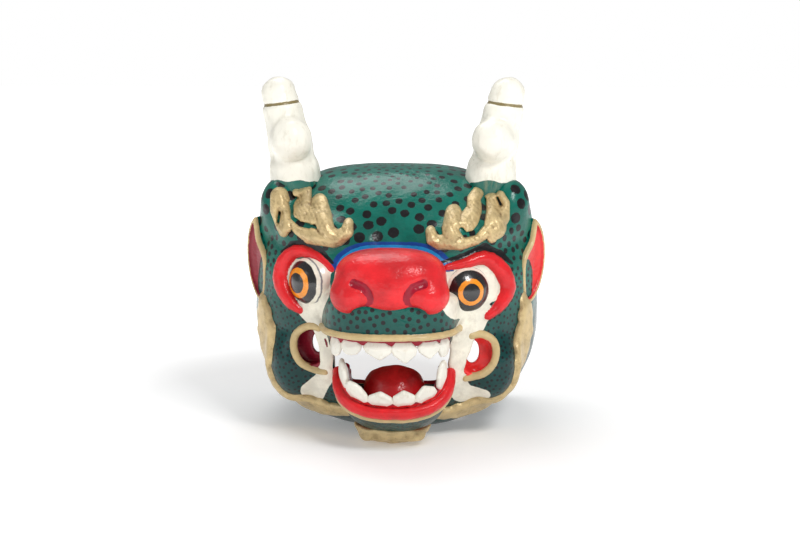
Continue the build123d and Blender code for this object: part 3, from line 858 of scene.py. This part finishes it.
def build_jaw():
    """The open lower jaw: bright rolled lip, gum and hollow in a darker red, gold line and dotted chin in a
    darker green; both darker colours are painted shade.
    """
    def up(p):
        return jaw_frame(p)[2]

    # painted shade: the jaw's green and its gum red are darker copies of the paint
    material = lacquered("jaw_lacquer", SHADED_GREEN, [
        ("gum", 0, SHADED_RED), ("lip", 0, BRIGHT_RED), ("gilt", 0, GOLD),
    ], dots=BLACK, relief=0.6)
    zones = {
        "gum": lambda p: np.minimum(GILT_N - up(p), jaw_plan(p, 46)),
        "lip": lambda p: np.maximum(-jaw_plan(p, 49.6), GILT_N - up(p)),
        "gilt": lambda p: np.maximum(np.abs(up(p) - GILT_N) - 2.4, -jaw_plan(p, 50)),
    }
    piece = sculpt("lower_jaw_carved", jaw_shape, (-62, -124, 3), (66, -50, 86), 1.4, material,
                   "jaw_lacquer", zones, ["lower_jaw"])
    add_dots(piece, lambda p: 0 * p[0] + 3.6, lambda p: 0 * p[0] + 1.15,
             lambda p: up(p) - GILT_N + 4, 5)


def tongue_shape(p):
    u, v, n = jaw_frame(p)
    dome = ellipsoid((u, v, n), (0, -4, -24), (30, 33, 28))
    return smooth_max(smooth_max(dome, jaw_plan(p, 43), 3), v - 8, 2) + 0.4 * ripple(p, 22, 3.0)


def chin_shape(p):
    """Gold tuft under the chin: flat below, its front edge curving up."""
    lump = ellipsoid(p, (1, -56, 20), (38, 28, 21))
    lump = smooth_min(lump, ellipsoid((np.abs(p[0] - 1), p[1], p[2]), (24, -70, 9), (7, 8, 4.5)), 6)
    return smooth_max(smooth_max(lump, -p[2], 2), p[2] - 18, 3) + 0.5 * ripple(p, 14, 4.0)


# ---------------------------------------------------------------- teeth
# outlines across and up, as shares of a tooth's half width and length
LEAF = [(-0.6, 0), (-1, 0.3), (-0.85, 0.62), (-0.2, 0.94), (0, 1), (0.2, 0.94), (0.85, 0.62), (1, 0.3),
        (0.6, 0)]
BLUNT = [(-0.7, 0), (-1, 0.3), (-0.95, 0.68), (-0.55, 0.96), (0, 1), (0.5, 0.9), (0.9, 0.6), (1, 0.25),
         (0.6, 0)]
# across from the middle, half width, length, sideways shift of the tip, outline
UPPER_TEETH = [(-49, 9, 19, -1, BLUNT), (-34, 11, 15, 0, BLUNT), (-10.5, 14, 18, 3, LEAF),
               (14, 12.5, 21, 2, LEAF), (37, 12, 18, 1, LEAF), (50, 8.5, 19, 2, BLUNT)]
LOWER_TEETH = [(-45.5, 12, 27, -3, BLUNT), (-31, 12.5, 21, -4, BLUNT), (-11, 12.8, 19, 1, LEAF),
               (11.5, 12, 21, 0, LEAF), (32, 12, 21, -2, LEAF), (45.5, 12, 28, 4, BLUNT)]
TOOTH_THICKNESS = 2.6
LOWER_ROW = 47        # radius of the row of lower teeth


def polygon(u, v, points):
    """Signed distance in a plane to a closed outline."""
    best = np.full(np.shape(u), 1e9)
    inside = np.zeros(np.shape(u), bool)
    for (ax, ay), (bx, by) in zip(points, points[1:] + points[:1]):
        best = np.minimum(best, rod((u, v), (ax, ay), (bx, by), 0))
        if ay != by:
            inside ^= ((ay > v) != (by > v)) & (u < (bx - ax) * (v - ay) / (by - ay) + ax)
    return np.where(inside, -best, best)


def unit(v):
    return np.array(v, float) / np.linalg.norm(v)


def build_tooth(name, root, across, up, half_width, length, lean, outline, material):
    """A pillowy leaf of enamel standing on its root."""
    out = np.cross(across, up)
    leaf = [(half_width * a + lean * b, length * b) for a, b in outline]

    def shape(p):
        q = [p[i] - root[i] for i in range(3)]
        t, h, n = (sum(q[i] * axis[i] for i in range(3)) for axis in (across, up, out))
        edge = polygon(t, h, leaf) + TOOTH_THICKNESS
        dome = 0.28 * np.clip(-edge, 0, 7)
        return np.sqrt(np.maximum(edge, 0) ** 2 + n**2) - TOOTH_THICKNESS - dome

    low = [c - length - 6 for c in root]
    high = [c + length + 6 for c in root]
    sculpt(f"{name}_enamel", shape, low, high, 0.9, material, "tooth_enamel", nodes=[name])


def build_teeth():
    material = enamelled("tooth_enamel", srgb(243, 240, 228), srgb(186, 166, 120), (1, 1, 0.6))
    upper_radius = MUZZLE_RADIUS - 6
    for number, (x, half_width, length, lean, outline) in enumerate(UPPER_TEETH, start=1):
        def front(a):
            return MUZZLE_Y - reach_of(a, upper_radius, upper_radius, MUZZLE_FULLNESS)

        across = unit((2, front(x + 1) - front(x - 1), 0))
        build_tooth(f"upper_tooth_{number}", (x, front(x), LIP_Z - 4), across, np.array((0, 0, -1.0)),
                    half_width, length, lean, outline, material)
    for number, (u, half_width, length, lean, outline) in enumerate(LOWER_TEETH, start=1):
        def front(a):
            return -reach_of(a, LOWER_ROW, LOWER_ROW - JAW_FLATNESS, JAW_FULLNESS)

        root = jaw_point(u, front(u), -1)
        # the outermost teeth turn to follow the jaw's sides
        ahead = jaw_point(u + 1, front(u + 1) if u < 45 else front(u) + 4, -1)
        behind = jaw_point(u - 1, front(u - 1) if u > -45 else front(u) + 4, -1)
        across = unit(np.array(ahead) - behind)
        up = np.array(jaw_point(0, 0, 1)) - jaw_point(0, 0, 0)
        build_tooth(f"lower_tooth_{number}", root, across, up, half_width, length, lean, outline, material)


def build_mouth_parts():
    sculpt("tongue_carved", tongue_shape, (-32, -110, 22), (38, -44, 92), 1.4,
           lacquered("tongue_lacquer", TONGUE_RED, relief=0.6), "tongue_lacquer", nodes=["tongue"])
    sculpt("chin_tuft_gilt", chin_shape, (-46, -102, 0), (48, -22, 24), 1.5, GILT, "gilt",
           nodes=["chin_tuft"])
    build_teeth()


# ---------------------------------------------------------------- horns, brows, ears and cheek bands
HORN_SHIFT = {"left": 5, "right": 0}
CREVICE = [(74, -3, 268), (84, -24, 262), (96, -29, 260), (108, -24, 262), (117, -3, 268)]
CREASE_Z = 321


def on_horn(p, side):
    """The same point on the right horn, where both are drawn."""
    return ((p[0] if side == "right" else -p[0]) - HORN_SHIFT[side], p[1], p[2])


def above_crease(q):
    """Height above the tilted crease round the horn's cap."""
    return q[2] - CREASE_Z + 0.12 * (q[0] - 109)


def horn_crevice_shade(p, side):
    """Distance to the hollows that are painted dark brown, as painted shade: under the tine's ball and round
    the cap's crease.
    """
    q = on_horn(p, side)
    return np.minimum(chain(q, CREVICE, 2.6), np.abs(above_crease(q)) - 0.2)


def horn_shape(p, side):
    """A stub leaning outwards, with a round cap and a ball-shaped tine over a dark crevice."""
    q = on_horn(p, side)
    stub = chain(q, [(93, 10, 228), (94, 10, 252), (99, 10, 285), (105, 10, 312), (109, 10, 330)],
                 [25, 22.5, 19.5, 17.2, 17], 10)
    stub = stub + 1.8 * np.exp(-(above_crease(q) / 2.2) ** 2)
    ball = ellipsoid(q, (95, -9, 287), (20.5, 20, 21))
    horn = smooth_min(stub, ball, 5)
    crevice = chain(q, CREVICE, 3.6)
    horn = smooth_max(horn, -crevice, 4)
    return horn + 0.6 * ripple(q, 21, 0.4 if side == "right" else 2.1)


def build_horns():
    def foot(p):
        """The head's green paint runs a little way up the horn."""
        return p[2] - 249 + 0.2 * (p[1] + 20) + 1.5 * ripple(p, 26, 3.3)

    # painted shade: the horns' hollows are darkened to the dirt colour, and the crevice under the ball and
    # the cap's crease are painted dark brown
    material = enamelled("horn_enamel", IVORY, CREAM_DIRT_AND_SHADE, (1, 1, 0.35),
                         [("crevice", 1.2, srgb(128, 112, 66)), ("foot", 0, GREEN)])
    for side, first_x, last_x in (("left", -140, -66), ("right", 66, 134)):
        sculpt(f"{side}_horn_carved", lambda p: smooth_max(horn_shape(p, side), 230 - p[2], 2),
               (first_x, -32, 226), (last_x, 38, 347), 1.8, material, "horn_enamel",
               {"crevice": lambda p: horn_crevice_shade(p, side), "foot": foot}, [f"{side}_horn"])


BROWS = {              # gilt scrolls and the slits through them, as chains of x, z and radius
    "right": {
        "bodies": [[(37, 206, 3), (39, 199, 4), (46, 196, 5), (57, 198, 6), (56, 209, 6.5),
                    (58, 221, 6)],
                   [(51, 196, 4.5), (65, 195, 4.5), (79, 198, 4), (89, 204, 4)],
                   [(58, 220, 5), (64, 209, 6), (72, 214, 8), (78, 223, 6), (77, 232, 4.5), (81, 237, 4)],
                   [(95, 198, 3), (98, 207, 9), (97, 220, 8), (94, 231, 5)],
                   [(105, 215, 5), (106, 228, 4), (103, 235, 2.5)]],
        "slits": [[(100, 233, 1), (103, 227, 1.2)],
                  [(66, 208, 2), (70, 203, 2.4), (78, 204, 2.4), (85, 212, 2.2), (87, 221, 2), (87, 231, 2)]],
    },
    "left": {
        "bodies": [[(-41, 212, 3), (-42, 205, 4.5), (-50, 199, 5.5), (-60, 204, 6), (-65, 216, 6.5),
                    (-71, 228, 6.5)],
                   [(-71, 221, 7), (-81, 218, 7), (-88, 224, 7), (-86, 230, 5), (-87, 237, 5), (-94, 237, 3)],
                   [(-96, 216, 2.5), (-90, 206, 4), (-78, 200, 6), (-64, 199, 5.5), (-54, 197, 5)],
                   [(-111, 233, 7), (-109, 221, 9), (-105, 208, 7.5), (-105, 202, 4)]],
        "slits": [[(-110, 218, 1.2), (-111, 210, 1.4)],
                  [(-100, 227, 1.5), (-96, 215, 1.7), (-88, 210, 2.3), (-79, 209, 2.3)]],
    },
}
BROW_HEIGHT = 3.6
BROW_FULLNESS = 1.9   # how far the scrolls spread beyond their middle lines' radii


def brow_shape(p, side):
    """Flame-shaped scrolls, domed and ribbed, lying on the brow ridge."""
    flat = None
    for body in BROWS[side]["bodies"]:
        part = flat_chain(p, body, 0)
        flat = part if flat is None else smooth_min(flat, part, 1.5)
    flat = flat - BROW_FULLNESS
    for slit in BROWS[side]["slits"]:
        flat = smooth_max(flat, -flat_chain(p, slit, 0), 1)
    skin = face(p)
    ribs = 0.16 * np.sin(p[0] * 1.5 + p[2] * 1.1 + 2 * np.sin(p[2] * 0.25)) + 0.4 * ripple(p, 11, 1.5)
    height = 2.2 + BROW_HEIGHT * np.clip(-flat / 6, 0, 1) ** 0.8 + ribs
    relief = smooth_max(smooth_max(flat, skin - height, 2), -skin - 3, 1)
    return smooth_max(relief, p[1] - 18, 1)


def build_brows():
    places = {"left": ((-124, -78, 190), (-34, 18, 244)), "right": ((30, -78, 186), (114, 18, 244))}
    for side, (low, high) in places.items():
        sculpt(f"{side}_brow_gilt", lambda p: brow_shape(p, side), low, high, 1.3, GILT, "gilt",
               nodes=[f"{side}_brow"])


EAR_AT = (136.8, -7)  # x and y of the ear's middle line
EAR_ALONG = (0.6, 0.8)
EAR_OUTLINE = [(3.7, 211), (14, 202), (21, 186), (21.5, 165), (15, 146), (3, 132), (-8, 128), (-16, 134),
               (-18.5, 151), (-18, 170), (-11.5, 180), (-3, 189), (0.5, 201)]
EAR_DEPTH = 9
EAR_LIP = 4.2


def ear_frame(p):
    """Along the ear's leaf, up, and out from its face, on the mirrored side."""
    x, y = np.abs(p[0]) - EAR_AT[0], p[1] - EAR_AT[1]
    return x * EAR_ALONG[0] + y * EAR_ALONG[1], p[2], x * EAR_ALONG[1] - y * EAR_ALONG[0]


def ear_leaf(p):
    s, z, _ = ear_frame(p)
    wrapped = [tuple(q) for q in curve(EAR_OUTLINE + EAR_OUTLINE[:1], 40)][:-1]
    return polygon(s, z, wrapped)


def ear_shape(p):
    """A dished leaf with a rounded rim."""
    out = ear_frame(p)[2]
    leaf = ear_leaf(p)
    solid = smooth_max(leaf, np.abs(out + EAR_DEPTH / 2 + 0.06 * ear_frame(p)[0]) - EAR_DEPTH / 2, 3)
    dish = smooth_max(leaf + EAR_LIP, -out - 3.2 - 0.2 * np.clip(-leaf - EAR_LIP, 0, 10), 1.5)
    return smooth_max(solid, -dish, 1.5)


def build_ears():
    # the left ear's dish is a darker red than the right ear's coral: painted shade on the side away from the
    # key light
    spans = {"left": (srgb(150, 26, 44), -151, -118), "right": (CORAL, 118, 151)}
    for side, (tint, first_x, last_x) in spans.items():
        material = lacquered(f"ear_lacquer_{side}", GREEN, [("rim", 0, GOLD), ("dish", 0, tint)], dots=BLACK)
        zones = {
            "rim": lambda p: -ear_frame(p)[2] - 4.5,
            "dish": lambda p: np.maximum(ear_leaf(p) + EAR_LIP - 0.4, -ear_frame(p)[2] - 9),
        }
        low, high = (first_x, -30, 126), (last_x, 20, 213)
        piece = sculpt(f"{side}_ear_carved", ear_shape, low, high, 1.4, material, "ear_lacquer", zones,
                       [f"{side}_ear"])
        add_dots(piece, lambda p: 0 * p[0] + 7, lambda p: 0 * p[0] + 2, lambda p: ear_frame(p)[2] + 6.5, 7)


BANDS = {              # points down the middle of each cheek band, with its half width
    "left": ([(-122, -14, 134), (-122, -20, 118), (-121, -24, 100), (-117, -27, 80), (-110, -27, 60),
              (-99, -27, 44), (-88, -26, 34), (-72, -34, 27), (-55, -42, 26), (-42, -48, 24)],
             [10, 14, 17, 18, 18, 18, 17, 13, 9, 6]),
    "right": ([(122, -20, 137), (127, -20, 120), (126, -22, 102), (120, -26, 80), (111, -27, 60),
               (99, -27, 44), (84, -29, 33), (66, -35, 26), (50, -44, 22), (40, -50, 20)],
              [7, 11, 14, 16, 16, 16, 15, 12, 9, 6]),
}
BAND_HEIGHT = 5


def band_shape(p, side):
    """A lumpy, cracked border that follows the edge of the jowl."""
    points, radii = BANDS[side]
    stripe = chain(p, points, radii, 4) + 1.4 * ripple(p, 17, 1.0 if side == "left" else 2.6)
    skin = face(p)
    return smooth_max(smooth_max(smooth_max(stripe, skin - BAND_HEIGHT, 4), -skin - 4, 1), -p[2], 1)


def build_bands():
    places = {"left": ((-146, -66, 2), (-32, 30, 150)), "right": ((30, -68, 2), (148, 30, 150))}
    for side, (low, high) in places.items():
        sculpt(f"{side}_cheek_band_gilt", lambda p: band_shape(p, side), low, high, 1.6, GILT, "gilt",
               nodes=[f"{side}_cheek_band"])


# ---------------------------------------------------------------- curled mouth corners
def surface_y(x, z):
    """Where the face's surface lies, seen from the front."""
    y = np.arange(-126.0, 60.0, 0.5)
    inside = face((np.full_like(y, x), y, np.full_like(y, z))) < 0
    return float(y[inside.argmax()])


def build_corners():
    """A gilt curl round a dished opening behind each strut."""
    # the left lining is a darker red than the right's coral: painted shade on the side away from the key
    # light
    for side, lining in (("left", srgb(128, 22, 40)), ("right", CORAL)):
        corner = CORNERS[side]
        cx, cz = corner["dish"]
        rim = curve([(x, surface_y(x, z) + 0.8, z) for x, z in corner["rim"]], 22)

        def shape(p):
            skin = face(p)
            dish = oval(p, corner["dish"], DISH_RADII)
            wall = smooth_max(np.abs(dish) - 1.6, np.abs(skin + 8) - 8.5, 1)
            plate = smooth_max(dish, np.abs(skin + 13) - 3, 1)
            hole = oval(p, corner["hole"], corner["hole_radii"])
            cup = smooth_max(smooth_min(wall, plate, 4), -hole, 1.5)
            cup = smooth_max(cup, p[1] + 6, 1)
            return smooth_min(cup, chain(p, rim, 3.7), 1.5)

        material = lacquered(f"corner_lacquer_{side}", lining, [("rim", 0, GOLD)])
        low = (min(cx - DISH_RADII[0], min(q[0] for q in rim)) - 8, -90, cz - DISH_RADII[1] - 8)
        high = (max(cx + DISH_RADII[0], max(q[0] for q in rim)) + 8, -4, cz + DISH_RADII[1] + 8)
        sculpt(f"{side}_mouth_corner_carved", shape, low, high, 1.2, material, "corner_lacquer",
               {"rim": lambda p: chain(p, rim, 4.2)}, [f"{side}_mouth_corner"])


# ---------------------------------------------------------------- pads, strap and kept fittings
PUFF_FRAMES = 20
PUFF_PRESSURE = 4
PAD_SHRINK = 0.97     # pads start a little small, to leave room for the swelling
PUFF_CAP = 1.3 * MM   # most a pad may swell towards the wood behind it


def baked_copy(piece):
    """The mesh of a piece with its modifiers applied."""
    graph = bpy.context.evaluated_depsgraph_get()
    return bpy.data.meshes.new_from_object(piece.evaluated_get(graph))


def coordinates(mesh):
    flat = np.empty(len(mesh.vertices) * 3)
    mesh.vertices.foreach_get("co", flat)
    return flat.reshape(-1, 3)


def build_pad(node, material):
    """A felt pad: its CAD block, a little smaller, swollen as cloth until its faces bulge."""
    pad = put(f"{node}_felt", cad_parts[node].data.copy())
    even = pad.modifiers.new("even", "REMESH")
    even.mode, even.voxel_size = "VOXEL", 4 * MM
    pad.data = baked_copy(pad)
    pad.modifiers.remove(even)
    rest = coordinates(pad.data)
    middle = (rest.max(0) + rest.min(0)) / 2
    rest = middle + (rest - middle) * PAD_SHRINK
    pad.data.vertices.foreach_set("co", rest.ravel())
    puff = pad.modifiers.new("puff", "CLOTH")
    puff.settings.use_pressure = True
    puff.settings.uniform_pressure_force = PUFF_PRESSURE
    puff.settings.effector_weights.gravity = 0
    puff.settings.quality = 5
    puff.point_cache.frame_end = PUFF_FRAMES
    for number in range(1, PUFF_FRAMES + 1):
        bpy.context.scene.frame_set(number)
    swollen = coordinates(baked_copy(pad))
    pad.modifiers.remove(puff)
    bpy.context.scene.frame_set(1)
    move = swollen - rest
    length = np.linalg.norm(move, axis=1, keepdims=True) + 1e-9
    rest = rest + move * np.minimum(1, PUFF_CAP / length)
    pad.data.vertices.foreach_set("co", rest.ravel())
    smooth = pad.modifiers.new("smooth", "SUBSURF")
    smooth.levels = smooth.render_levels = 1
    pad.data = baked_copy(pad)
    pad.modifiers.remove(smooth)
    pad.data.shade_smooth()
    pad.data.materials.clear()
    pad.data.materials.append(material)
    stand_for(pad, "pad_felt", node)


STRAP_Z = 140
STRAP_PATH = [(-120, 80), (-118.6, 98), (-84, 114), (0, 122), (84, 114), (118.6, 98), (120, 80)]
STRAP_HALF = (13, 1.1)


def build_strap(material):
    """A flat cotton strap across the back, thicker at its bound edges."""
    spine = curve([(x, y, STRAP_Z) for x, y in STRAP_PATH], 90)
    profile = []
    for turn in np.linspace(0, 2 * pi, 28, endpoint=False):
        across = np.sign(cos(turn)) * abs(cos(turn)) ** 0.35
        thick = np.sign(sin(turn)) * abs(sin(turn)) ** 0.35
        profile.append((across * STRAP_HALF[0], thick * STRAP_HALF[1] * (0.8 + 0.25 * abs(across) ** 6)))
    points, faces = [], []
    count = len(profile)
    for i, here in enumerate(spine):
        ahead, behind = spine[min(i + 1, len(spine) - 1)], spine[max(i - 1, 0)]
        along = unit((ahead[0] - behind[0], ahead[1] - behind[1], 0))
        out = (along[1], -along[0])
        for across, thick in profile:
            points.append((here[0] + out[0] * thick, here[1] + out[1] * thick, here[2] + across))
        if i:
            last, base = (i - 1) * count, i * count
            for j in range(count):
                k = (j + 1) % count
                faces.append((last + j, last + k, base + k, base + j))
    end = (len(spine) - 1) * count
    faces.append(tuple(range(count))[::-1])
    faces.append(tuple(range(end, end + count)))
    make_piece("head_strap_woven", points, faces, material, "strap_cotton", "head_strap")


def finish_kept_nodes():
    """Pegs and metal fittings keep their CAD shape and get a real finish."""
    for node, material in (("horn_pegs", WOOD), ("jaw_pegs", WOOD), ("strap_nails", STEEL),
                           ("hanging_bail", STEEL), ("screw_eyes", BRASS)):
        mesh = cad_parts[node].data
        mesh.materials.clear()
        mesh.materials.append(material)


# ---------------------------------------------------------------- floor, light and camera
AMBIENT = 0.32        # light from the white room all round
FLOOR_HALF = 6.0
LAMP_AIM = (0, 0, 0.17)
LAMPS = (             # name, place, width and power
    ("key", (0.7, -1.0, 1.35), 0.5, 15),
    ("top", (-0.25, 0.5, 1.5), 0.9, 9),
    ("fill", (-1.3, -0.9, 0.7), 0.8, 3),
)


def build_stage():
    """A pale seamless floor, a white surround and a big soft key from the upper right."""
    mesh = bpy.data.meshes.new("floor")
    corners = [(FLOOR_HALF * a, FLOOR_HALF * b, 0) for a, b in ((-1, -1), (1, -1), (1, 1), (-1, 1))]
    mesh.from_pydata(corners, [], [(0, 1, 2, 3)])
    paint = Paint("floor_paper", 0.9)
    paint.bump((paint.noise(3, 2), 0.02))
    away = paint.node("VectorMath", {"operation": "LENGTH"}, i0=paint.place).outputs["Value"]
    paint.surface.inputs["Emission Color"].default_value = (1, 1, 1, 1)
    glow = paint.node("MapRange", Value=away, From_Min=0.3, From_Max=0.8, To_Min=0.22, To_Max=1.0)
    paint.feed(paint.surface.inputs["Emission Strength"], glow.outputs[0])
    mesh.materials.append(paint.done(paint.shade((0.9, 0.9, 0.9, 1), 900, 0.99, 1.01)))
    put("floor", mesh)
    world = bpy.data.worlds.new("studio")
    world.use_nodes = True
    nodes, links = world.node_tree.nodes, world.node_tree.links
    seen = nodes.new("ShaderNodeLightPath").outputs["Is Camera Ray"]
    shine = nodes.new("ShaderNodeMapRange")
    links.new(seen, shine.inputs["Value"])
    shine.inputs["To Min"].default_value = AMBIENT
    shine.inputs["To Max"].default_value = 1.0
    links.new(shine.outputs[0], nodes["Background"].inputs["Strength"])
    nodes["Background"].inputs["Color"].default_value = (1, 1, 1, 1)
    bpy.context.scene.world = world
    for name, place, width, power in LAMPS:
        lamp = bpy.data.lights.new(name, "AREA")
        lamp.size = width
        lamp.energy = power
        holder = put(name, lamp)
        holder.location = place
        aim = Vector(LAMP_AIM) - Vector(place)
        holder.rotation_euler = aim.to_track_quat("-Z", "Y").to_euler()


def build_camera():
    """Seen from ten degrees above and a little to the right, from a metre and a half away."""
    target = Vector((0.004, 0.020, 0.158))
    elevation, azimuth, distance = radians(10), radians(3), 1.5
    back = Vector((sin(azimuth) * cos(elevation), -cos(azimuth) * cos(elevation), sin(elevation)))
    lens = bpy.data.cameras.new("camera")
    lens.lens = 67.5
    lens.clip_start, lens.clip_end = 0.05, 50
    camera = put("camera", lens)
    camera.location = target + back * distance
    camera.rotation_euler = (-back).to_track_quat("-Z", "Y").to_euler()
    bpy.context.scene.camera = camera


build_stage()
build_camera()
bpy.context.scene.view_settings.view_transform = "Standard"
build_head()
build_nose()
build_eyes()
build_jaw()
build_mouth_parts()
build_horns()
build_brows()
build_ears()
build_bands()
build_corners()
felt = cloth("pad_felt", srgb(150, 140, 126), srgb(96, 88, 78), 2.5, 0.15)
for pad_node in ("forehead_pad", "crown_pad", "left_temple_pad", "right_temple_pad"):
    build_pad(pad_node, felt)
build_strap(cloth("strap_cotton", srgb(214, 204, 182), srgb(150, 138, 116), 1.6, 0.25))
finish_kept_nodes()
